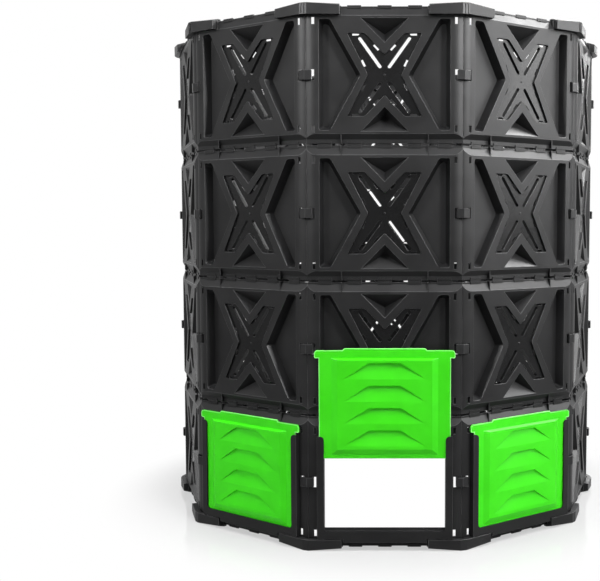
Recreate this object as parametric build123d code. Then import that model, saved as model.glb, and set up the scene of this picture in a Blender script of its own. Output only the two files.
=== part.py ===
from build123d import *
from math import asin, atan2, cos, degrees, radians, sin, tan
import os

# Compost bin: four stacked rings of ten moulded panels, open above and below, with three
# sliding hatch doors in the bottom ring. Millimetres, +Z up. The origin is on the ground at
# the middle of the bin, and the front faces -Y.
#
# A panel is drawn in its own frame: u runs to the right along the face, d is the depth
# behind the face (negative in front of it) and v is the height from the panel's middle.

# Rings
side_count = 10
tier_count = 4
panel_width = 320.0  # seam to seam
face_height = 234.0  # crease to crease
joint_height = 42.5  # top crease to the bottom crease of the panel above
wall = 2.5
seam_gap = 0.4  # between two neighbouring panels

# Edges of a panel
round_start = 22.0  # from the seam to where the face starts to round off
column_radius = 42.0
return_depth = 22.0  # depth of the side walls
lip_inset = 6.5  # how far the top and bottom lips stand behind the face
lip_wall = 3.0
top_slope = 15.0  # height of the sloped flange above the top crease
bottom_slope = 11.0
tab_height = 2.2
tab_width = 28.0
tab_pitch = 61.0
tab_count = 5
gusset_at = 88.0  # from the middle of the face
gusset_wall = 2.2

# Openwork of a vent panel
column_width = 28.0  # from the seam to the side pocket
pocket_margin = 6.5  # from a crease to the pocket
pocket_end = 22.0  # length of the pocket's short edges
pocket_depth = 18.0
pocket_draft = 22.0
band_width = 14.5  # of the face left between the pocket's point and the cross
cross_margin = 34.5  # from a crease to the ends of the cross
cross_reach = 75.5
cross_arm = 35.5  # width of an arm at its end
cross_notch = 40.0
cross_waist = 33.5
cross_depth = 4.0
cross_draft = 6.0
slot_width = 7.0
slot_end_gap = 9.5  # from the end of an arm to the slot's outer centre
slot_lean = 7.8  # from the middle of an arm's end to the slot's outer centre
slot_inner_u = 9.5
slot_inner_v = 17.0
collar_wall = 2.0  # of the collar round the back of a slot
collar_depth = 7.0
slit_length = 14.0
slit_width = 4.0
slit_offset = 2.5  # from the wall of the cross to the slit's middle
slit_places = (0.27, 0.5, 0.62)  # along the sides of an arm, from the waist to the notch
dimple_margin = 4.5
dimple_half = 48.0
dimple_height = 49.0
dimple_low = 29.0  # from the dimple's base to its deepest point
dimple_depth = 22.0
dimple_shift = 4.5  # depth of plastic behind the dimple

# Slots in the columns, and the clips that hold two panels together
corner_slot_inset = 16.5  # from the seam to the slot's middle
corner_slot_margin = 10.0
corner_slot_width = 5.5
corner_slot_height = 13.5
clip_slot_inset = 10.0  # from the seam to the slot's near side
clip_slot_width = 8.5
clip_slot_height = 22.0
clip_height = 19.0
clip_wall = 3.0
clip_proud = 3.5
clip_play = 0.5
clip_reach = 8.0  # depth of the clip's legs
clip_barb = 1.6

# Caps on the top rim's corners and feet under the bottom rim's corners
corner_proud = 11.0
corner_reach = 24.0  # beyond the crease
corner_skirt = 1.0  # from the crease to the skirt's edge
corner_wall = 3.0
corner_grip = 7.0  # from the crease to the edge of the inner wall
corner_play = 0.4
seat_play = 0.2
corner_fall = 5.0  # of the outer edge, from the corner to the end of an arm
fall_depth = 5.0  # depth behind the face at which the fall runs out
facet_depth = 2.5  # cut off the corner's outer edge
facet_notch = 3.0
notch_depth = 1.5

# Hatch frame
rail_inset = 35.0  # from the seam to the hatch opening
rail_cover = 10.0  # of the door's edge behind the rail
rail_wall = 3.0
rail_margin = 20.0  # from the top crease to the rails' ends
rail_round = 8.0
head_margin = 19.0  # from the top crease to the hatch opening
sill_height = 16.0  # from the bottom crease to the top of the sill
sill_apron = 7.0  # the sill's front below the bottom crease, between the feet
ledge_width = 3.0
hatch_return = 20.0

# Door
door_wall = 3.0
door_play = 0.4  # to the rail and to the ledge
door_side_play = 1.2
door_rest_play = 0.3
sill_cover = 4.2  # of the closed door's foot behind the sill
door_rise = 1.2  # of its top over the top crease
ear_overhang = 9.0
ear_height = 16.2
ear_round = 7.0
ear_root = 3.0
door_round = 12.0
grip_height = 4.1
grip_half = 82.5
pan_side = 26.0
pan_top = 16.0
pan_bottom = 8.0
pan_rise = 5.5
pan_bevel_side = 12.0
pan_bevel_top = 3.2
pan_bevel_bottom = 12.0
louvre_count = 4
louvre_pitch = 46.0
louvre_top = 6.3  # from the pan's top edge to the first louvre
louvre_height = 33.0
louvre_half = 32.5  # along its upper edge
louvre_point = 82.0  # along its lower edge
louvre_depth = 5.0
front_lift = 156.5  # the front door stands open

# Sizes that follow
mitre = 180.0 / side_count
half = panel_width / 2
apothem = half / tan(radians(mitre))
crease = face_height / 2
tier_pitch = face_height + joint_height
joint_level = tier_pitch / 2
rim = joint_level - tab_height
corner_top = crease + corner_reach
lead = 1.0  # cutters start this far in front of what they cut
same_spot = 0.1  # two points nearer than this are one

opening_half = half - rail_inset
door_half = opening_half + rail_cover
rail_outer = door_half + door_side_play + rail_wall
rail_front = corner_proud
rail_back = rail_front - rail_wall
door_front = rail_back - door_play
door_back = door_front - door_wall
ledge_front = door_back - door_play
rail_top = crease - rail_margin
rail_low = corner_play - crease
opening_top = crease - head_margin
sill_top = sill_height - crease
door_bottom = sill_top - sill_cover
sill_floor = door_bottom - door_rest_play
door_top = crease + door_rise
pan_front = door_front + pan_rise
hatch_sides = {0: "front", 1: "right", side_count - 1: "left"}


def polygon(points):
    return Face(Wire.make_polygon(points))


def block(u_from, u_to, d_from, d_to, v_from, v_to):
    size = (u_to - u_from, d_to - d_from, v_to - v_from)
    middle = Pos((u_from + u_to) / 2, (d_from + d_to) / 2, (v_from + v_to) / 2)
    return middle * Box(*size)


def frustum(outline, depth, far_outline, far_depth):
    near = [(u, depth, v) for u, v in outline]
    far = [(u, far_depth, v) for u, v in far_outline]
    count = len(near)
    sides = [polygon([near[i - 1], near[i], far[i], far[i - 1]]) for i in range(count)]
    return Solid(Shell([polygon(near), polygon(far), *sides]))


def inset(outline, distance):
    corners = [Vector(*point) for point in outline]
    moved = []
    for i, corner in enumerate(corners):
        after = corners[(i + 1) % len(corners)]
        side_in = (corner - corners[i - 1]).normalized().rotate(Axis.Z, 90)
        side_out = (after - corner).normalized().rotate(Axis.Z, 90)
        shift = (side_in + side_out) * (distance / (1 + side_in.dot(side_out)))
        moved.append((corner.X + shift.X, corner.Y + shift.Y))
    return moved


def drafted(outline, depth, far_depth, draft):
    lean = tan(radians(draft))
    return frustum(inset(outline, depth * lean), depth, inset(outline, far_depth * lean), far_depth)


def along_face(section, u_from, u_to):
    return Solid.extrude(polygon([(u_from, d, v) for d, v in section]), (u_to - u_from, 0, 0))


def upright(plan, v_from, v_to):
    return Solid.extrude(polygon([(u, d, v_from) for u, d in plan]), (0, 0, v_to - v_from))


def plate(sketch, front, thickness):
    return extrude(Plane.XZ.offset(front - thickness) * sketch, amount=thickness)


def mirrored(shape):
    return mirror(shape, about=Plane.YZ)


def panel_plan(offset, back):
    tilt = radians(mitre)
    start = half - round_start
    side = half - (seam_gap / 2 + offset) / cos(tilt)
    radius = column_radius - offset
    turn = tilt + asin((side - start - column_radius * tan(tilt)) * cos(tilt) / radius)
    middle = (start + radius * sin(turn / 2), column_radius - radius * cos(turn / 2))
    end = (start + radius * sin(turn), column_radius - radius * cos(turn))
    corner = (side - back * tan(tilt), back)
    right = [ThreePointArc((start, offset), middle, end), Line(end, corner)]
    left = [mirror(edge, about=Plane.YZ) for edge in right]
    front = Line((-start, offset), (start, offset))
    return make_face([front, *right, *left, Line(corner, (-corner[0], back))])


def panel_section(offset, lip_offset, reach, back):
    slack = lip_offset - offset
    lip = lip_inset + lip_offset
    return [
        (back, -reach),
        (lip, -reach),
        (lip, -crease - bottom_slope),
        (offset, slack * bottom_slope / lip_inset - crease),
        (offset, crease - slack * top_slope / lip_inset),
        (lip, crease + top_slope),
        (lip, reach),
        (back, reach),
    ]


def panel_envelope(back):
    outer = Pos(0, 0, -rim) * extrude(panel_plan(0, back), amount=2 * rim)
    return outer & along_face(panel_section(0, 0, rim, back), -half, half)


def panel_shell():
    back = return_depth + lead
    top = rim + lead
    hollow = Pos(0, 0, -top) * extrude(panel_plan(wall, back), amount=2 * top)
    hollow = hollow & along_face(panel_section(wall, lip_wall, top, back), -half, half)
    return panel_envelope(return_depth) - hollow


def edge_tabs():
    first = -tab_pitch * (tab_count - 1) / 2
    lip_back = lip_inset + lip_wall
    for i in range(tab_count):
        left = first + i * tab_pitch - tab_width / 2
        yield block(left, left + tab_width, lip_inset, lip_back, rim - lip_wall, joint_level)
        yield block(left, left + tab_width, lip_inset, lip_back, -joint_level, lip_wall - rim)


def edge_gussets():
    for slope, side in ((top_slope, 1), (bottom_slope, -1)):
        section = [
            (0, crease),
            (0, rim),
            (lip_inset + lead, rim),
            (lip_inset + lead, crease + slope),
            (lead, crease),
        ]
        section = [(d, side * v) for d, v in section]
        for u in (-gusset_at, gusset_at):
            yield along_face(section, u - gusset_wall / 2, u + gusset_wall / 2)


def column_slots():
    corner_u = half - corner_slot_inset
    corner_v = crease - corner_slot_margin
    corner_slot = Box(corner_slot_width, return_depth, corner_slot_height)
    yield from four_ways(Pos(corner_u, 0, corner_v) * corner_slot)
    clip_u = half - clip_slot_inset - clip_slot_width / 2
    for u in (-clip_u, clip_u):
        yield Pos(u, 0, 0) * Box(clip_slot_width, return_depth, clip_slot_height)


def pocket_outline():
    outer = half - column_width
    top = crease - pocket_margin
    point = cross_waist + band_width
    inner = outer - pocket_end
    return [(outer, -top), (outer, top), (inner, top), (point, 0), (inner, -top)]


def cross_quarter():
    end = crease - cross_margin
    inner = cross_reach - cross_arm
    return [(cross_waist, 0), (cross_reach, end), (inner, end), (0, cross_notch)]


def cross_outline():
    waist, *arm, notch = cross_quarter()
    upper = [*arm, notch, *[(-u, v) for u, v in reversed(arm)]]
    return [waist, *upper, (-cross_waist, 0), *[(-u, -v) for u, v in upper]]


def long_slot(width):
    end = crease - cross_margin
    outer = Vector(cross_reach - cross_arm / 2 - slot_lean, end - slot_end_gap)
    inner = Vector(slot_inner_u, slot_inner_v)
    return SlotCenterPoint((outer + inner) / 2, outer, width)


def slot_collars():
    front = cross_depth + wall / 2
    return four_ways(plate(long_slot(slot_width + 2 * collar_wall), -front, wall / 2 + collar_depth))


def cross_slots():
    yield from four_ways(plate(long_slot(slot_width), 0, cross_depth + wall + collar_depth + lead))
    corners = cross_quarter()
    for start, stop, share in zip(corners, corners[1:], slit_places):
        run = Vector(*stop) - Vector(*start)
        inwards = run.normalized().rotate(Axis.Z, 90)
        middle = Vector(*start) + run * share + inwards * slit_offset
        yield from four_ways(wall_slit(middle, degrees(atan2(run.Y, run.X))))


def wall_slit(middle, angle):
    low = cross_depth / 2
    high = cross_depth + wall + lead
    slit = Box(slit_length, high - low, slit_width)
    return Pos(middle.X, (low + high) / 2, middle.Y) * (Rot(0, -angle, 0) * slit)


def four_ways(cutter):
    upper = [cutter, mirrored(cutter)]
    return [*upper, *[mirror(shape, about=Plane.XY) for shape in upper]]


def dimple_cutter():
    base = crease - dimple_margin
    low = base - dimple_low
    grow = 1 + dimple_shift / dimple_depth
    corners = [(dimple_half, base), (-dimple_half, base), (0, base - dimple_height)]
    rim_points = [(u * grow, -dimple_shift, low + (v - low) * grow) for u, v in corners]
    deepest = (0, dimple_depth, low)
    sides = [polygon([rim_points[i - 1], rim_points[i], deepest]) for i in range(3)]
    return Solid(Shell([polygon(rim_points), *sides]))


def vent_panel():
    pocket = pocket_outline()
    cross = cross_outline()
    dimple = dimple_cutter()
    dimples = [dimple, mirror(dimple, about=Plane.XY)]
    pocket_cut = drafted(pocket, -lead, pocket_depth, pocket_draft)
    pocket_skin = drafted(inset(pocket, -wall), wall / 2, pocket_depth + wall, pocket_draft)
    cross_cut = drafted(cross, -lead, cross_depth, cross_draft)
    cross_skin = drafted(inset(cross, -wall), wall / 2, cross_depth + wall, cross_draft)
    skins = Part() + [pocket_skin, mirrored(pocket_skin), cross_skin]
    skins = skins + [Pos(0, dimple_shift, 0) * shape for shape in dimples]
    skins = skins & panel_envelope(pocket_depth + 2 * wall)
    body = panel_shell() + skins
    body = body + [*slot_collars(), *edge_tabs(), *edge_gussets()]
    body = body - [pocket_cut, mirrored(pocket_cut), cross_cut, *dimples]
    body = body - [*cross_slots(), *column_slots()]
    return body.solid()


def upright_rectangle(half_width, low, high):
    return Pos(0, (low + high) / 2) * Rectangle(2 * half_width, high - low)


def rounded(sketch, u, v, radius):
    corners = [p for p in sketch.vertices() if abs(abs(p.X) - u) < same_spot and abs(p.Y - v) < same_spot]
    return fillet(corners, radius)


def rail_front_sketch():
    gap = upright_rectangle(opening_half, sill_top, rail_top + rail_round)
    gap = rounded(gap, opening_half, sill_top, rail_round)
    frame = upright_rectangle(rail_outer, rail_low, rail_top) - gap
    frame = rounded(frame, opening_half, rail_top, rail_round)
    apron = upright_rectangle(gusset_at - gusset_wall, -crease - sill_apron, sill_floor)
    return frame + apron


def hatch_panel():
    edge = opening_half + ledge_width
    low = sill_top - ledge_width
    body = panel_shell() + [*edge_tabs(), *edge_gussets()]
    rail_side = block(rail_outer - rail_wall, rail_outer, -rail_front, wall, rail_low, rail_top)
    floor = block(-rail_outer, rail_outer, -rail_front, wall, sill_floor - rail_wall, sill_floor)
    surround = block(-edge, edge, -ledge_front, hatch_return, low, opening_top + ledge_width)
    head_relief = block(-edge, edge, -rail_front, 0, rail_top, crease)
    body = body + [rail_side, mirrored(rail_side), floor, surround - head_relief]
    body = body + plate(rail_front_sketch(), rail_front, rail_wall)
    opening = block(-opening_half, opening_half, -rail_back, hatch_return + lead, sill_top, opening_top)
    body = body - [opening, *column_slots()]
    return body.solid()


def door_outline():
    ear = door_half + ear_overhang
    ear_bottom = door_top - ear_height
    right = [
        (door_half, door_bottom),
        (door_half, ear_bottom),
        (ear, ear_bottom),
        (ear, door_top),
        (grip_half + grip_height, door_top),
        (grip_half, door_top + grip_height),
    ]
    sketch = make_face(Polyline(*right, *[(-u, v) for u, v in reversed(right)], close=True))
    sketch = rounded(sketch, door_half, door_bottom, door_round)
    sketch = rounded(sketch, ear, door_top, ear_round)
    return rounded(sketch, ear, ear_bottom, ear_root)


def pan_solid():
    base_u = door_half - pan_side
    base_low = door_bottom + pan_bottom
    base_top = door_top - pan_top
    front_u = base_u - pan_bevel_side
    front_low = base_low + pan_bevel_bottom
    front_top = base_top - pan_bevel_top
    base = [(base_u, base_low), (base_u, base_top), (-base_u, base_top), (-base_u, base_low)]
    front = [(front_u, front_low), (front_u, front_top), (-front_u, front_top), (-front_u, front_low)]
    return frustum(base, -door_front, front, -pan_front)


def louvre_wedge(top, margin, front_lead):
    half_top = louvre_half + margin
    half_low = louvre_point + margin
    reach = (louvre_depth + front_lead) / louvre_depth
    end = half_top + (half_low - half_top) * reach
    low = top - (louvre_height + margin) * reach
    front = -pan_front - front_lead
    deep = louvre_depth - pan_front
    near_left, near_right = (-half_top, front, top), (half_top, front, top)
    deep_left, deep_right = (-half_top, deep, top), (half_top, deep, top)
    low_left, low_right = (-end, front, low), (end, front, low)
    faces = [
        [near_left, near_right, low_right, low_left],
        [near_left, near_right, deep_right, deep_left],
        [deep_left, deep_right, low_right, low_left],
        [near_left, deep_left, low_left],
        [near_right, deep_right, low_right],
    ]
    return Solid(Shell([polygon(points) for points in faces]))


def door():
    pan = pan_solid()
    body = plate(door_outline(), door_front, door_wall) + pan
    body = body - Pos(0, door_wall, 0) * pan
    first = door_top - pan_top - pan_bevel_top - louvre_top
    tops = [first - i * louvre_pitch for i in range(louvre_count)]
    body = body + [Pos(0, door_wall, 0) * louvre_wedge(top + door_wall, door_wall, 0) for top in tops]
    body = body - [louvre_wedge(top, 0, lead) for top in tops]
    return body.solid()


def corner_half(slope):
    tilt = radians(mitre)
    lip_back = lip_inset + lip_wall + corner_play
    back = lip_back + corner_wall
    seat = joint_level + seat_play
    start = gusset_at + gusset_wall / 2 + corner_play
    tip = half + corner_proud * tan(tilt)
    plan = [
        (start, -corner_proud),
        (tip - facet_depth / sin(tilt), -corner_proud),
        (tip - facet_depth * sin(tilt), facet_depth * cos(tilt) - corner_proud),
        (half - back * tan(tilt), back),
        (start, back),
    ]
    section = [
        (-corner_proud, crease + corner_skirt),
        (-corner_proud, corner_top),
        (back, corner_top),
        (back, seat),
        (lip_inset - corner_play, seat),
        (lip_inset - corner_play, crease + slope),
        (corner_skirt * lip_inset / slope - corner_play, crease + corner_skirt),
    ]
    arm = upright(plan, crease, corner_top) & along_face(section, start, tip)
    stop = half - back * tan(tilt) - (seam_gap + 2 * wall)
    arm = arm + block(start, stop, lip_back, back, crease + corner_grip, corner_top)
    ridge = Vector(tip, -corner_proud, corner_top)
    low_end = Vector(start, -corner_proud, corner_top - corner_fall)
    run_out = Vector(start, fall_depth, corner_top)
    roof = Plane(origin=ridge, z_dir=(run_out - ridge).cross(low_end - ridge))
    return split(arm, bisect_by=roof, keep=Keep.BOTTOM)


def facet_cutter():
    radius = (apothem + corner_proud) / cos(radians(mitre)) - facet_depth
    notch = Box(facet_notch, 2 * notch_depth, corner_reach)
    for offset in (-facet_notch, facet_notch):
        yield Pos(offset, -radius, crease + corner_reach / 2 - corner_wall) * notch


def clip_half():
    tilt = radians(mitre)
    near = half - clip_slot_inset - clip_play
    far = near - clip_wall
    start = half - round_start
    drop = column_radius - (column_radius**2 - (far - start) ** 2) ** 0.5
    under = drop - clip_play
    barb = column_radius - ((column_radius - wall) ** 2 - (near + clip_barb - start) ** 2) ** 0.5
    barb = barb + clip_play
    plan = [
        (far, -clip_proud),
        (half + clip_proud * tan(tilt), -clip_proud),
        (half - under * tan(tilt), under),
        (near, under),
        (near, barb),
        (near + clip_barb, barb),
        (near, barb + clip_reach / 2),
        (far, barb + clip_reach / 2),
    ]
    return upright(plan, -clip_height / 2, clip_height / 2)


def tier_level(tier):
    return corner_top + tier * tier_pitch


def turned(side):
    return Rot(0, 0, side * 360 / side_count)


def on_face(shape, side, level):
    return turned(side) * Pos(0, -apothem, level) * shape


def across_seam(shape_half, side, level):
    right = on_face(shape_half, side, level)
    left = on_face(mirrored(shape_half), side + 1, level)
    return (right + left).solid()


def seam_clips(tier):
    return Compound([across_seam(clip_half(), side, tier_level(tier)) for side in range(side_count)])


def corner_cap():
    cap = across_seam(corner_half(top_slope), 0, 0)
    notches = [turned(0.5) * cutter for cutter in facet_cutter()]
    return (cap - notches).solid()


def corner_feet():
    upside_down = [across_seam(corner_half(bottom_slope), side, 0) for side in range(side_count)]
    feet = [mirror(foot, about=Plane.XY) for foot in upside_down]
    return Compound([Pos(0, 0, tier_level(0)) * foot for foot in feet])


def all_pieces():
    vent = vent_panel()
    hatch = hatch_panel()
    hatch_door = door()
    cap = corner_cap()
    for tier in range(tier_count):
        level = tier_level(tier)
        for side in range(side_count):
            if tier == 0 and side in hatch_sides:
                place = hatch_sides[side]
                lift = front_lift if place == "front" else 0
                yield f"{place}_hatch_panel", on_face(hatch, side, level)
                yield f"{place}_door", on_face(hatch_door, side, level + lift)
            else:
                yield f"tier{tier + 1}_vent_panel_{side + 1:02d}", on_face(vent, side, level)
        yield f"tier{tier + 1}_seam_clips", seam_clips(tier)
    for side in range(side_count):
        yield f"rim_corner_cap_{side + 1:02d}", turned(side) * Pos(0, 0, tier_level(tier_count - 1)) * cap
    yield "corner_feet", corner_feet()


os.makedirs("parts", exist_ok=True)
for name, piece in all_pieces():
    export_step(piece, f"parts/{name}.step", write_pcurves=False)
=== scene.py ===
from math import cos, pi, radians, tan
import bmesh
import bpy
from mathutils import Matrix, Vector


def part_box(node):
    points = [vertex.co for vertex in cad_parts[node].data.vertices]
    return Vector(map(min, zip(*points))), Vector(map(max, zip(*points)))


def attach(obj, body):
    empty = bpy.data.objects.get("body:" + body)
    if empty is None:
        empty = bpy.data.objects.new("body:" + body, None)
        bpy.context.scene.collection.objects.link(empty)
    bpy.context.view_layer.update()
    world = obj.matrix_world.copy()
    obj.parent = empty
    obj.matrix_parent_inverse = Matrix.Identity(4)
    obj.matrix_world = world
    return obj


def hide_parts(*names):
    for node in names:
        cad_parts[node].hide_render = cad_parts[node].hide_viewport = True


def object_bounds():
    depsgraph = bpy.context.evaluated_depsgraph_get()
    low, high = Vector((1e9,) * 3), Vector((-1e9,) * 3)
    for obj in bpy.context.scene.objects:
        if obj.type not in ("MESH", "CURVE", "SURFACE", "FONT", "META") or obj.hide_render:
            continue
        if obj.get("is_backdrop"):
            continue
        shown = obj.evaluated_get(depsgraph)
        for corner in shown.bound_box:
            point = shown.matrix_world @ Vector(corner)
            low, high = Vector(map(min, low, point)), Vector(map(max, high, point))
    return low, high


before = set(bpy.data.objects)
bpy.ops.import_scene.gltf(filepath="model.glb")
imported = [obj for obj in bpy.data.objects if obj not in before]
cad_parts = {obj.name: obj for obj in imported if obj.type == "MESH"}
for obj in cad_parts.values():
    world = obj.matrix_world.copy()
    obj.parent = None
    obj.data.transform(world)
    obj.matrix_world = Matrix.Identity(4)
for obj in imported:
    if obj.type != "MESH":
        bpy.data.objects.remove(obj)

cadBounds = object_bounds()
scene = bpy.context.scene
scene.view_settings.view_transform = "Standard"
print("frame loaded:", len(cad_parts), "nodes")

# the bin's own rule: ten equal sides, four rings, front side towards -Y
ring = {"sides": 10, "tiers": 4, "panelWidth": 0.320, "tabCount": 5, "tabPitch": 0.061}
turnStep = 2 * pi / ring["sides"]
apothem = ring["panelWidth"] / 2 / tan(turnStep / 2)


def tierLevel(tier):  # middle height of a ring, read from its back panel
    low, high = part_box(f"tier{tier}_vent_panel_06")
    return (low.z + high.z) / 2


levels = [tierLevel(tier) for tier in range(1, ring["tiers"] + 1)]
tierPitch = levels[1] - levels[0]


class Wire:  # one socket; sums and products of wires become Math nodes
    def __init__(self, tree, socket=None):
        self.tree = tree
        self.socket = socket

    def add(self, kind, settings, inputs, out=0):
        node = self.tree.nodes.new(kind)
        for key, value in settings.items():
            if key == "stops":
                ramp = node.color_ramp.elements
                for i, (place, shade) in enumerate(value):
                    stop = ramp[i] if i < 2 else ramp.new(place)
                    stop.position = place
                    stop.color = (shade, shade, shade, 1)
            else:
                setattr(node, key, value)
        for key, value in inputs.items():
            if isinstance(value, Wire):
                self.tree.links.new(value.socket, node.inputs[key])
            else:
                node.inputs[key].default_value = value
        return Wire(self.tree, node.outputs[out] if node.outputs else None)

    def maths(self, operation, first, second):
        return self.add("ShaderNodeMath", {"operation": operation}, {0: first, 1: second})

    def __add__(self, other):
        return self.maths("ADD", self, other)

    def __mul__(self, other):
        return self.maths("MULTIPLY", self, other)

    def __sub__(self, other):
        return self.maths("SUBTRACT", self, other)

    def __rsub__(self, other):
        return self.maths("SUBTRACT", other, self)

    __radd__ = __add__
    __rmul__ = __mul__

    def noise(self, coords, size, detail=2.0, roughness=0.5):
        inputs = {"Vector": coords, "Scale": 1 / size, "Detail": detail, "Roughness": roughness}
        return self.add("ShaderNodeTexNoise", {}, inputs)

    def ramp(self, value, *stops):
        return self.add("ShaderNodeValToRGB", {"stops": stops}, {"Fac": value})

    def blend(self, factor, first, second):
        inputs = {0: factor, 6: first, 7: second}  # the Mix node's colour sockets
        return self.add("ShaderNodeMix", {"data_type": "RGBA"}, inputs, out=2)


def rgba(colour):
    return (*colour, 1.0)


def emptyMaterial(name):
    material = bpy.data.materials.new(name)
    material.use_nodes = True
    material.node_tree.nodes.clear()
    return material, Wire(material.node_tree)


plasticMix = {"cloud": ((0.34, 0.0), (0.66, 1.0)), "speck": ((0.66, 0.0), (0.78, 1.0)),
              "leastWearAndHighlight": 0.55, "grainRough": 0.10}


# moulded polypropylene: spark-eroded grain, faint flow marks, edges paler (wear and painted highlight) and
# smoother
def mouldedPlastic(name, look):
    material, wire = emptyMaterial(name)
    spot = wire.add("ShaderNodeTexCoord", {}, {}, out="Object")
    flow = wire.noise(spot, look["flowSize"], detail=3.0, roughness=0.6)
    cloud = wire.ramp(flow, *plasticMix["cloud"])
    grain = wire.noise(spot, look["grainSize"], detail=2.0, roughness=0.7)
    speck = wire.ramp(wire.noise(spot, look["speckSize"], detail=1.0), *plasticMix["speck"])
    wave = wire.noise(spot, look["waveSize"], detail=1.0)
    rim = wire.add("ShaderNodeAttribute", {"attribute_name": "rim"}, {}, out="Fac")
    sunk = wire.add("ShaderNodeAttribute", {"attribute_name": "sunk"}, {}, out="Fac")
    # painted highlight: broken edges are painted paler, partly as wear, partly standing in for edge
    # highlights
    edgeWearAndHighlight = rim * (plasticMix["leastWearAndHighlight"] + (1 - plasticMix["leastWearAndHighlight"]) * cloud)
    body = wire.blend(cloud, rgba(look["deep"]), rgba(look["tone"]))
    # painted shade: where sunk is 1 (the cross's bottom) the colour is painted darker
    body = wire.blend(sunk, body, rgba(look["paintedShadeTone"]))
    body = wire.blend(speck * look["speckShare"], body, rgba(look["speckTone"]))
    colour = wire.blend(edgeWearAndHighlight, body, rgba(look["edgeWearHighlightTone"]))
    rough = look["rough"] + look["roughSwing"] * (cloud - 0.5) + plasticMix["grainRough"] * (grain - 0.5)
    rough = rough - look["edgePolish"] * edgeWearAndHighlight - look["sunkPolish"] * sunk
    height = grain * look["grainDepth"] + wave * look["waveDepth"]
    normal = wire.add("ShaderNodeBump", {}, {"Strength": 1.0, "Distance": 1.0, "Height": height})
    shader = wire.add("ShaderNodeBsdfPrincipled", {}, {
        "Base Color": colour, "Roughness": rough, "Normal": normal,
        "IOR": look["ior"], "Specular IOR Level": look["specular"]})
    wire.add("ShaderNodeOutputMaterial", {}, {"Surface": shader})
    return material


blackLook = {
    "deep": (0.0050, 0.0050, 0.0053), "tone": (0.0076, 0.0076, 0.0080),
    "edgeWearHighlightTone": (0.060, 0.060, 0.061), "paintedShadeTone": (0.0025, 0.0025, 0.0027),
    "speckTone": (0.034, 0.034, 0.035), "speckShare": 0.25, "speckSize": 0.0016,
    "flowSize": 0.085, "grainSize": 0.0007, "waveSize": 0.045, "grainDepth": 0.00007, "waveDepth": 0.00045,
    "rough": 0.45, "roughSwing": 0.08, "edgePolish": 0.10, "sunkPolish": 0.16,
    "ior": 1.49, "specular": 0.12,
}
clipLook = {
    **blackLook, "deep": (0.0085, 0.0085, 0.0089), "tone": (0.0120, 0.0120, 0.0125), "rough": 0.42,
}
greenLook = {
    "deep": (0.036, 0.595, 0.002), "tone": (0.042, 0.650, 0.003),
    "edgeWearHighlightTone": (0.300, 0.850, 0.240), "paintedShadeTone": (0.038, 0.610, 0.003),
    "speckTone": (0.070, 0.760, 0.012), "speckShare": 0.3, "speckSize": 0.0018,
    "flowSize": 0.070, "grainSize": 0.0008, "waveSize": 0.050, "grainDepth": 0.00006, "waveDepth": 0.00040,
    "rough": 0.40, "roughSwing": 0.08, "edgePolish": 0.05, "sunkPolish": 0.05,
    "ior": 1.49, "specular": 0.14,
}
panelPlastic = mouldedPlastic("panelPlastic", blackLook)
clipPlastic = mouldedPlastic("clipPlastic", clipLook)
doorPlastic = mouldedPlastic("doorPlastic", greenLook)
print("plastics mixed")


merge = {"reach": 1e-6, "flatDegrees": 0.6}
sharp = {"round": 15, "meet": 5, "break": 20, "crease": 12}  # least angles between two faces, in degrees
shade = {"flat": 12, "round": 50}  # largest angles that are shaded as one, in degrees


def mergedCopy(nodeName):  # a node's mesh with its doubles merged and its flats made whole
    form = bmesh.new()
    form.from_mesh(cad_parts[nodeName].data)
    bmesh.ops.remove_doubles(form, verts=form.verts, dist=merge["reach"])
    flat = radians(merge["flatDegrees"])
    bmesh.ops.dissolve_limit(form, angle_limit=flat, verts=form.verts, edges=form.edges)
    return form


def keepIsland(form, near):  # only the solid closest to a point stays
    start = min(form.verts, key=lambda vert: (vert.co - near).length)
    island, waiting = {start}, [start]
    while waiting:
        for edge in waiting.pop().link_edges:
            for vert in edge.verts:
                if vert not in island:
                    island.add(vert)
                    waiting.append(vert)
    others = [vert for vert in form.verts if vert not in island]
    bmesh.ops.delete(form, geom=others, context="VERTS")


def isSharp(edge, degrees):
    return edge.is_manifold and edge.calc_face_angle(0.0) > radians(degrees)


def roundCorners(form, picked, radius, steps):
    edges = [edge for edge in form.edges if isSharp(edge, sharp["round"]) and picked(edge)]
    bmesh.ops.bevel(form, geom=edges, offset=radius, segments=steps, profile=0.5, affect="EDGES",
                    clamp_overlap=False)
    return len(edges)


def finalMesh(holder):  # an object's mesh after its modifiers
    return bpy.data.meshes.new_from_object(holder.evaluated_get(bpy.context.evaluated_depsgraph_get()))


# flats keep their own normal, rounds stay smooth, and a broken edge runs from one flat to the next
def evenShade(mesh, rims):
    around = [[] for vert in mesh.vertices]
    for face in mesh.polygons:
        for vert in face.vertices:
            around[vert].append(face)
    normals = []
    for face in mesh.polygons:
        for vert in face.vertices:
            flats = [near for near in around[vert] if not rims[near.index]]
            own = face.normal
            if rims[face.index] and flats:
                own = max(flats, key=lambda near: near.normal.dot(face.normal)).normal
            limit = cos(radians(shade["flat"] if flats else shade["round"]))
            total = Vector()
            for near in flats or around[vert]:
                if near.normal.dot(own) > limit:
                    total += near.normal * near.area
            normals.append(total.normalized() if total.length > 0 else own)
    mesh.normals_split_custom_set(normals)
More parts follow.
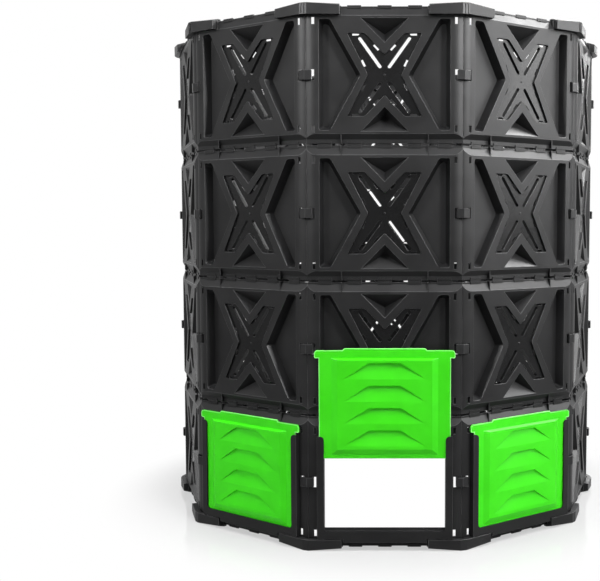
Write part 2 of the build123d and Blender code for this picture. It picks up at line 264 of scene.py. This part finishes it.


# breaks the outer sharp edges with a small radius; its faces carry rim = 1 where they are painted paler, as
# wear and painted highlight
def softEdged(form, name, cut):
    bmesh.ops.triangulate(form, faces=form.faces)
    form.normal_update()
    for face in form.faces:
        face.smooth = True
        face.material_index = 0
    weights = form.edges.layers.float.new("bevel_weight_edge")
    for edge in form.edges:
        corner = [near for vert in edge.verts for near in vert.link_edges if isSharp(near, sharp["meet"])]
        roomy = all(near.calc_length() > cut.get("clear", 0) for near in corner)
        outer = isSharp(edge, sharp["break"]) and edge.is_convex
        broken = outer and roomy and edge.calc_length() > cut["shortest"]
        edge[weights] = 1.0 if broken else 0.0
        edge.smooth = broken or not isSharp(edge, sharp["crease"])
    mesh = bpy.data.meshes.new(name + "Rough")
    form.to_mesh(mesh)
    form.free()
    mesh.materials.append(panelPlastic)
    mesh.materials.append(clipPlastic)
    holder = bpy.data.objects.new(name + "Rough", mesh)
    scene.collection.objects.link(holder)
    bevel = holder.modifiers.new("edgeBreak", "BEVEL")
    bevel.limit_method = "WEIGHT"
    bevel.width = cut["edgeBreak"]
    bevel.segments = 2
    bevel.use_clamp_overlap = False
    bevel.material = 1
    done = finalMesh(holder)
    bpy.data.objects.remove(holder)
    rims = [float(face.material_index) for face in done.polygons]
    # edges painted paler as wear and painted highlight, kept to the zone that the piece gives
    wearHighlightZone = cut.get("wearHighlightZone", lambda spot: True)
    paleEdges = [rim * wearHighlightZone(face.center) for rim, face in zip(rims, done.polygons)]
    if "highlightLine" in done.attributes:
        paleEdges = [max(paleness, line.value) for paleness, line in zip(paleEdges, done.attributes["highlightLine"].data)]
    done.attributes.new("rim", "FLOAT", "FACE").data.foreach_set("value", paleEdges)
    done.polygons.foreach_set("material_index", [0] * len(rims))
    done.materials.clear()
    # painted shade: the polished cross bottom is also painted darker through sunk
    if "polishedAndShaded" in cut:
        polishedShadedFaces = [float(cut["polishedAndShaded"](face.center)) for face in done.polygons]
        done.attributes.new("sunk", "FLOAT", "FACE").data.foreach_set("value", polishedShadedFaces)
    evenShade(done, rims)
    done.name = name
    return done


def place(mesh, name, move, material):  # a piece of its own: the place is in its mesh
    own = mesh.copy()
    own.transform(move)
    own.materials.append(material)
    piece = bpy.data.objects.new(name, own)
    scene.collection.objects.link(piece)
    return piece


def dress(piece, body, slotName, *nodes):
    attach(piece, body)
    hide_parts(*nodes)


def turned(side):
    return Matrix.Rotation(side * turnStep, 4, "Z")


# vent panels: pockets and cross get the mould's corner radius before the edges are broken
def within(spot, reach):  # near the middle of a panel in the second ring
    return abs(spot.x) < reach[0] and abs(spot.z - levels[1]) < reach[1]


def inCross(spot):  # the polished bottom of the cross, which is also painted darker as painted shade
    least, most = ventPanel["crossDepth"]
    return within(spot, ventPanel["crossReach"]) and least < spot.y + apothem < most


ventPanel = {"cornerRadius": 0.0040, "cornerSteps": 3, "edgeBreak": 0.0005, "shortest": 0.0012,
             "crossReach": (0.085, 0.086), "crossDepth": (0.0030, 0.0050), "polishedAndShaded": inCross,
             "faceReach": (0.134, 0.113), "cornerLength": 0.003, "cornerSlope": 0.80}


def deepCorner(edge):  # an edge that runs into a pocket or the cross
    first, second = (vert.co for vert in edge.verts)
    run, inFace = second - first, within((first + second) / 2, ventPanel["faceReach"])
    deep = abs(run.y) > ventPanel["cornerSlope"] * run.length
    return inFace and deep and run.length > ventPanel["cornerLength"]


form = mergedCopy("tier2_vent_panel_01")
rounded = roundCorners(form, deepCorner, ventPanel["cornerRadius"], ventPanel["cornerSteps"])
ventMesh = softEdged(form, "ventMesh", ventPanel)
hatchSides = {0: "front", 1: "right", ring["sides"] - 1: "left"}
for tier in range(ring["tiers"]):
    for side in range(ring["sides"]):
        if tier == 0 and side in hatchSides:
            continue
        node = f"tier{tier + 1}_vent_panel_{side + 1:02d}"
        move = turned(side) @ Matrix.Translation((0, 0, levels[tier] - levels[1]))
        piece = place(ventMesh, f"vent_panel_t{tier + 1}_{side + 1:02d}", move, panelPlastic)
        dress(piece, "bin", "black_plastic", node)
print("vent panels dressed:", rounded, "corners rounded,", len(ventMesh.polygons), "faces each")

# hatch frames and their doors
hatchFrame = {"edgeBreak": 0.0005, "shortest": 0.0012, "clear": 0.0015}
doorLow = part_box("front_door")[0]
# the zone test keeps the paler edges (wear and painted highlight) to the door's front outline
hatchDoor = {"edgeBreak": 0.0008, "shortest": 0.0016, "clear": 0.0016,
             "wearHighlightFrom": 0.004, "wearHighlightZone": lambda spot: spot.y > doorLow.y + hatchDoor["wearHighlightFrom"],
             "panRise": 0.0055, "slack": 0.0005, "facing": 0.99, "line": 0.0018, "footRound": 0.012}


def lineOutline(form):  # a pale line along the edge of the door's flat front, except at its foot: painted highlight and wear
    highlightLine = form.faces.layers.float.new("highlightLine")
    level = doorLow.y + hatchDoor["panRise"]
    forward = [face for face in form.faces if face.normal.y < -hatchDoor["facing"]]
    flat = [face for face in forward if abs(face.calc_center_median().y - level) < hatchDoor["slack"]]
    edging = bmesh.ops.inset_region(form, faces=flat, thickness=hatchDoor["line"], use_boundary=True,
                                    use_even_offset=True)
    for face in edging["faces"]:
        outer = any(isSharp(edge, sharp["break"]) and edge.is_convex for edge in face.edges)
        face[highlightLine] = float(outer and face.calc_center_median().z > doorLow.z + hatchDoor["footRound"])
    return form


hatchMesh = softEdged(mergedCopy("front_hatch_panel"), "hatchMesh", hatchFrame)
doorMesh = softEdged(lineOutline(mergedCopy("front_door")), "doorMesh", hatchDoor)
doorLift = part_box("front_door")[0].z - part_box("left_door")[0].z
for side, where in hatchSides.items():
    panel = place(hatchMesh, f"{where}_hatch_frame", turned(side), panelPlastic)
    dress(panel, "bin", "black_plastic", f"{where}_hatch_panel")
    drop = Matrix.Translation((0, 0, 0 if where == "front" else -doorLift))
    door = place(doorMesh, f"{where}_hatch_door", turned(side) @ drop, doorPlastic)
    dress(door, f"{where}_door", "green_plastic", f"{where}_door")
print("hatches dressed:", len(hatchMesh.polygons), "and", len(doorMesh.polygons), "faces")

# caps on the rim's corners
cornerCap = {"edgeBreak": 0.0006, "shortest": 0.0012}
capMesh = softEdged(mergedCopy("rim_corner_cap_01"), "capMesh", cornerCap)
for side in range(ring["sides"]):
    cap = place(capMesh, f"rim_cap_{side + 1:02d}", turned(side), clipPlastic)
    dress(cap, "bin", "black_plastic", f"rim_corner_cap_{side + 1:02d}")


# one tree sets a small part out in rows along the sides, round the bin and up its rings
def setOutTree():
    tree = bpy.data.node_groups.new("setOut", "GeometryNodeTree")
    wanted = [
        ("Part", "NodeSocketObject"), ("In Row", "NodeSocketInt"), ("Row Pitch", "NodeSocketFloat"),
        ("Turns", "NodeSocketInt"), ("First Turn", "NodeSocketFloat"), ("Turn Step", "NodeSocketFloat"),
        ("Rings", "NodeSocketInt"), ("First Level", "NodeSocketFloat"), ("Level Step", "NodeSocketFloat"),
        ("Finish", "NodeSocketMaterial"),
    ]
    for label, kind in wanted:
        tree.interface.new_socket(label, in_out="INPUT", socket_type=kind)
    tree.interface.new_socket("Geometry", in_out="OUTPUT", socket_type="NodeSocketGeometry")
    wire = Wire(tree)
    given = tree.nodes.new("NodeGroupInput")
    sizes = {label: Wire(tree, given.outputs[label]) for label, kind in wanted}
    own = {"transform_space": "ORIGINAL"}
    part = wire.add("GeometryNodeObjectInfo", own, {"Object": sizes["Part"]}, out="Geometry")
    start = (sizes["In Row"] - 1) * sizes["Row Pitch"] * -0.5
    across = wire.add("ShaderNodeCombineXYZ", {}, {"X": start})
    stride = wire.add("ShaderNodeCombineXYZ", {}, {"X": sizes["Row Pitch"]})
    line = {"Count": sizes["In Row"], "Start Location": across, "Offset": stride}
    row = wire.add("GeometryNodeMeshLine", {}, line)
    row = wire.add("GeometryNodeInstanceOnPoints", {}, {"Points": row, "Instance": part})
    number = wire.add("GeometryNodeInputIndex", {}, {})
    angle = sizes["First Turn"] + number * sizes["Turn Step"]
    spin = wire.add("ShaderNodeCombineXYZ", {}, {"Z": angle})
    hub = wire.add("GeometryNodePoints", {}, {"Count": sizes["Turns"]})
    wheel = {"Points": hub, "Instance": row, "Rotation": spin}
    around = wire.add("GeometryNodeInstanceOnPoints", {}, wheel)
    foot = wire.add("ShaderNodeCombineXYZ", {}, {"Z": sizes["First Level"]})
    rise = wire.add("ShaderNodeCombineXYZ", {}, {"Z": sizes["Level Step"]})
    line = {"Count": sizes["Rings"], "Start Location": foot, "Offset": rise}
    stack = wire.add("GeometryNodeMeshLine", {}, line)
    every = wire.add("GeometryNodeInstanceOnPoints", {}, {"Points": stack, "Instance": around})
    solid = wire.add("GeometryNodeRealizeInstances", {}, {"Geometry": every})
    solid = wire.add("GeometryNodeSetMaterial", {}, {"Geometry": solid, "Material": sizes["Finish"]})
    wire.add("NodeGroupOutput", {}, {"Geometry": solid})
    return tree


setOut = setOutTree()


def setOutPieces(name, partMesh, sizes, material):
    part = bpy.data.objects.new(name + "Part", partMesh)
    carrier = bpy.data.objects.new(name, bpy.data.meshes.new(name))
    scene.collection.objects.link(carrier)
    modifier = carrier.modifiers.new("setOut", "NODES")
    modifier.node_group = setOut
    values = {"Part": part, "Finish": material, **sizes}
    for socket in setOut.interface.items_tree:
        if socket.in_out == "INPUT":
            modifier[socket.identifier] = values[socket.name]
    mesh = finalMesh(carrier)
    carrier.modifiers.remove(modifier)
    carrier.data = mesh
    bpy.data.objects.remove(part)
    return carrier


wholeRing = {"In Row": 1, "Row Pitch": 0.0, "Turns": ring["sides"], "First Turn": 0.0, "Turn Step": turnStep,
             "Rings": 1, "First Level": 0.0, "Level Step": 0.0}
frontSeam = turned(0.5) @ Vector((0, -apothem, 0))

# clips over the seams, feet under the corners
seamClip = {"edgeBreak": 0.0004, "shortest": 0.0010}
cornerFoot = {"edgeBreak": 0.0006, "shortest": 0.0012}
form = mergedCopy("tier1_seam_clips")
keepIsland(form, frontSeam + Vector((0, 0, levels[0])))
clipMesh = softEdged(form, "clipMesh", seamClip)
for tier in range(ring["tiers"]):
    clipRing = {**wholeRing, "First Level": tier * tierPitch}
    clips = setOutPieces(f"seam_clips_t{tier + 1}", clipMesh, clipRing, clipPlastic)
    dress(clips, "bin", "black_plastic", f"tier{tier + 1}_seam_clips")
form = mergedCopy("corner_feet")
keepIsland(form, frontSeam)
footMesh = softEdged(form, "footMesh", cornerFoot)
feet = setOutPieces("corner_foot_ring", footMesh, wholeRing, clipPlastic)
dress(feet, "bin", "black_plastic", "corner_feet")
print("clips and feet set out:", len(clipMesh.polygons), "and", len(footMesh.polygons), "faces each")

# raised roots of the joint tabs, on the lips above and below each joint
tabRoot = {"width": 0.0285, "height": 0.0046, "proud": 0.0016, "sunk": 0.0006,
           "lipDepth": 0.0065, "lipEnd": 0.13605, "edgeBreak": 0.0003, "shortest": 0.0005}


def tabRootMesh(name, flip):
    form = bmesh.new()
    bmesh.ops.create_cube(form, size=1.0)
    deep = tabRoot["proud"] + tabRoot["sunk"]
    bmesh.ops.scale(form, vec=(tabRoot["width"], deep, tabRoot["height"]), verts=form.verts)
    y = -apothem + tabRoot["lipDepth"] - tabRoot["proud"] + deep / 2
    z = flip * (tabRoot["lipEnd"] - tabRoot["height"] / 2)
    bmesh.ops.translate(form, vec=(0, y, z), verts=form.verts)
    return softEdged(form, name, tabRoot)


upperRoot = tabRootMesh("upperRootMesh", 1)
lowerRoot = tabRootMesh("lowerRootMesh", -1)
joints = ring["tiers"] - 1
fullRow = {**wholeRing, "In Row": ring["tabCount"], "Row Pitch": ring["tabPitch"], "Level Step": tierPitch}
openRow = {**fullRow, "In Row": ring["tabCount"] - 2}  # caps and feet hide the outer two
rows = {
    "tab_roots_upper": (upperRoot, {**fullRow, "Rings": joints, "First Level": levels[0]}),
    "tab_roots_lower": (lowerRoot, {**fullRow, "Rings": joints, "First Level": levels[1]}),
    "tab_roots_rim": (upperRoot, {**openRow, "First Level": levels[-1]}),
    "tab_roots_ground": (lowerRoot, {**openRow, "First Level": levels[0]}),
}
for name, (mesh, sizes) in rows.items():
    roots = setOutPieces(name, mesh, sizes, panelPlastic)
    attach(roots, "bin")

# the mould's gate mark in the middle of each cross
gateMark = {"radius": 0.0026, "taper": 0.72, "height": 0.0012, "sunk": 0.0002, "floorDepth": 0.004,
            "steps": 20, "edgeBreak": 0.0003, "shortest": 0.0002}


def gateMesh():
    form = bmesh.new()
    bmesh.ops.create_cone(form, cap_ends=True, segments=gateMark["steps"], radius1=gateMark["radius"],
                          radius2=gateMark["radius"] * gateMark["taper"], depth=gateMark["height"])
    bmesh.ops.rotate(form, cent=(0, 0, 0), matrix=Matrix.Rotation(pi / 2, 3, "X"), verts=form.verts)
    y = -apothem + gateMark["floorDepth"] - gateMark["height"] / 2 + gateMark["sunk"]
    bmesh.ops.translate(form, vec=(0, y, 0), verts=form.verts)
    return softEdged(form, "gateMesh", gateMark)


gate = gateMesh()
firstVent = 2  # in the lowest ring, whose first two sides and last side are hatches
ventRings = {**wholeRing, "Rings": ring["tiers"] - 1, "First Level": levels[1], "Level Step": tierPitch}
ventFoot = {**wholeRing, "Turns": ring["sides"] - len(hatchSides), "First Turn": firstVent * turnStep,
            "First Level": levels[0]}
for name, sizes in {"gate_marks_upper": ventRings, "gate_marks_foot": ventFoot}.items():
    marks = setOutPieces(name, gate, sizes, panelPlastic)
    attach(marks, "bin")
print("tab roots and gate marks set out")


pureWhite = (1, 1, 1, 1)
lookRays = ("Is Camera Ray", "Is Glossy Ray", "Is Transmission Ray")


def rayKind(wire, *labels):  # 1 for rays of any of these kinds
    path = wire.tree.nodes.new("ShaderNodeLightPath")
    found = Wire(wire.tree, path.outputs[labels[0]])
    for label in labels[1:]:
        found = wire.maths("MAXIMUM", found, Wire(wire.tree, path.outputs[label]))
    return found


# pale floor that fades to the white of the background, with a soft reflection; white inside the bin too
def floorFinish(look):
    material, wire = emptyMaterial("paleFloor")
    seen = rayKind(wire, *lookRays)
    spot = wire.add("ShaderNodeTexCoord", {}, {}, out="Object")
    away = wire.add("ShaderNodeVectorMath", {"operation": "LENGTH"}, {0: spot}, out="Value")

    def ease(start, end, low, high):
        inputs = {"Value": away, "From Min": start, "From Max": end, "To Min": low, "To Max": high}
        return wire.add("ShaderNodeMapRange", {"interpolation_type": "SMOOTHSTEP"}, inputs)

    outer = ease(look["fadeFrom"], look["fadeTo"], look["lift"], 1.0)
    inner = ease(look["insideFrom"], look["insideTo"], 1.0, 0.0)
    fade = wire.maths("MAXIMUM", outer, inner)
    matt = wire.add("ShaderNodeBsdfDiffuse", {}, {"Color": rgba(look["colour"])})
    sheen = wire.add("ShaderNodeBsdfGlossy", {}, {"Color": pureWhite, "Roughness": look["rough"]})
    gloss = look["gloss"] * rayKind(wire, "Is Camera Ray")
    base = wire.add("ShaderNodeMixShader", {}, {0: gloss, 1: matt, 2: sheen})
    white = wire.add("ShaderNodeEmission", {}, {"Color": pureWhite, "Strength": 1.0})
    surface = wire.add("ShaderNodeMixShader", {}, {0: fade * seen, 1: base, 2: white})
    wire.add("ShaderNodeOutputMaterial", {}, {"Surface": surface})
    return material


floorLook = {"size": 14.0, "drop": 0.0005, "colour": (0.48, 0.48, 0.48), "gloss": 0.30, "rough": 0.08,
             "fadeFrom": 0.51, "fadeTo": 0.72, "lift": 0.52, "insideFrom": 0.40, "insideTo": 0.50}
half = floorLook["size"] / 2
floorMesh = bpy.data.meshes.new("floor")
corners = [(-half, -half, 0), (half, -half, 0), (half, half, 0), (-half, half, 0)]
floorMesh.from_pydata(corners, [], [(0, 1, 2, 3)])
floorMesh.materials.append(floorFinish(floorLook))
floor = bpy.data.objects.new("floor", floorMesh)
scene.collection.objects.link(floor)
floor.location.z = -floorLook["drop"]
floor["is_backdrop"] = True

world = bpy.data.worlds.new("studio")
scene.world = world
world.use_nodes = True
world.node_tree.nodes.clear()
skyWire = Wire(world.node_tree)
skyLook = {"light": 0.08}
strength = skyLook["light"] + (1.0 - skyLook["light"]) * rayKind(skyWire, *lookRays)
sky = skyWire.add("ShaderNodeBackground", {}, {"Color": pureWhite, "Strength": strength})
skyWire.add("ShaderNodeOutputWorld", {}, {"Surface": sky})


sheenLead = 0.04  # share of the way by which a sheen lamp is nearer, or one lamp would hide the other


# soft studio light: a softbox has one lamp for its light, one for its sheen on the plastic, or both
def softbox(name, look):
    for part in ("light", "sheen"):
        if part not in look:
            continue
        lamp = bpy.data.lights.new(f"{name}_{part}", "AREA")
        lamp.shape = "RECTANGLE"
        lamp.size, lamp.size_y = look["size"]
        lamp.energy = look[part]
        box = bpy.data.objects.new(f"{name}_{part}", lamp)
        spot, aim = Vector(look["spot"]), Vector(look["aim"])
        box.location = spot.lerp(aim, 0.0 if part == "light" else sheenLead)
        box.rotation_euler = (aim - spot).to_track_quat("-Z", "Y").to_euler()
        box.visible_diffuse = part == "light"
        box.visible_glossy = part == "sheen"
        scene.collection.objects.link(box)


softboxes = {
    "keyRight": {
        "spot": (2.9, -0.5, 1.6), "aim": (0.4, -0.35, 0.9), "size": (1.2, 1.4), "light": 52, "sheen": 112,
    },
    "stripRight": {
        "spot": (2.1, -2.3, 2.3), "aim": (0.2, -0.45, 0.95), "size": (0.45, 1.0), "sheen": 570,
    },
    "stripLeft": {
        "spot": (-2.1, -2.3, 2.25), "aim": (-0.2, -0.45, 0.95), "size": (0.45, 1.0), "sheen": 310,
    },
    "fillLeft": {
        "spot": (-2.9, -0.6, 1.4), "aim": (-0.4, -0.35, 0.9), "size": (1.0, 1.8), "light": 36, "sheen": 4,
    },
    "frontTop": {
        "spot": (0.45, -0.95, 2.8), "aim": (0.05, -0.5, 0.4), "size": (0.8, 0.5), "light": 56, "sheen": 12,
    },
    "frontHigh": {
        "spot": (0.45, -1.6, 2.6), "aim": (0.05, -0.5, 0.4), "size": (0.7, 0.5), "light": 50,
    },
    "leftTop": {
        "spot": (-1.2, -1.0, 2.8), "aim": (-0.3, -0.4, 0.4), "size": (0.6, 0.5), "light": 30, "sheen": 4,
    },
    "rightFront": {
        "spot": (1.9, -1.8, 2.0), "aim": (0.35, -0.4, 0.3), "size": (0.5, 0.5), "light": 14,
    },
    "rightTop": {
        "spot": (1.9, 0.1, 2.5), "aim": (0.4, -0.3, 0.9), "size": (0.9, 0.9), "light": 5, "sheen": 190,
    },
    "backRight": {
        "spot": (1.3, 3.0, 2.0), "aim": (0.0, 0.45, 0.8), "size": (1.2, 1.2), "light": 8, "sheen": 70,
    },
    "overCamera": {
        "spot": (0.0, -4.0, 2.5), "aim": (0.0, -0.5, 1.0), "size": (1.8, 0.6), "sheen": 26,
    },
}
for name, look in softboxes.items():
    softbox(name, look)

# camera at the photograph's place
shot = {"spot": (0.0135, -2.4597, 0.6741), "pitch": 3.978, "lens": 58.18, "sensor": 36, "shiftX": -0.1523}
cameraData = bpy.data.cameras.new("shot")
cameraData.sensor_width = shot["sensor"]
cameraData.lens = shot["lens"]
cameraData.shift_x = shot["shiftX"]
camera = bpy.data.objects.new("shot", cameraData)
camera.location = shot["spot"]
camera.rotation_euler = (radians(90 - shot["pitch"]), 0, 0)
scene.collection.objects.link(camera)
scene.camera = camera

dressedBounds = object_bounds()
sizes = {"cad": [list(corner) for corner in cadBounds], "dressed": [list(corner) for corner in dressedBounds]}
print("scene ready")
